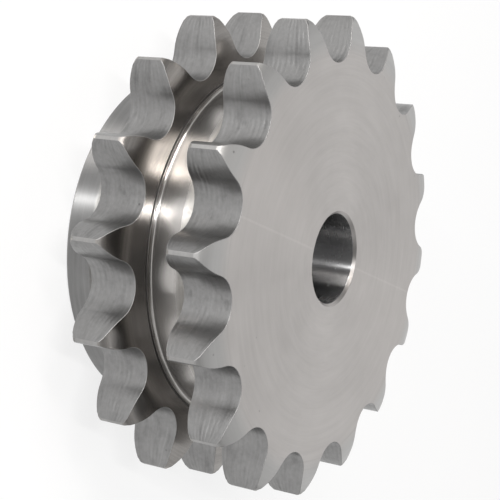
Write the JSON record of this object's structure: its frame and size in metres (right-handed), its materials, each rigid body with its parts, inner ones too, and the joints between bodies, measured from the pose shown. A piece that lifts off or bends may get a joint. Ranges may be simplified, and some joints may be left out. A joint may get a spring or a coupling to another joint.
{
  "type": "chain sprocket",
  "caption": "One-piece steel sprocket for two-strand roller chain, with two aligned rows of teeth, a groove between them, a hub on one side and a plain through bore.",
  "frame": {"origin": "centre of the bore at the hub's flat end face", "axes": "+Z along the bore axis, from the hub's end face toward the flat front face; +X points at the middle of one tooth space"},
  "size_m": [0.1046, 0.1046, 0.045],
  "materials": {
    "machined_steel": "turned and milled bare steel, satin, with tool marks"
  },
  "bodies": {
    "root": {"sprocket": "machined_steel"}
  },
  "joints": []
}
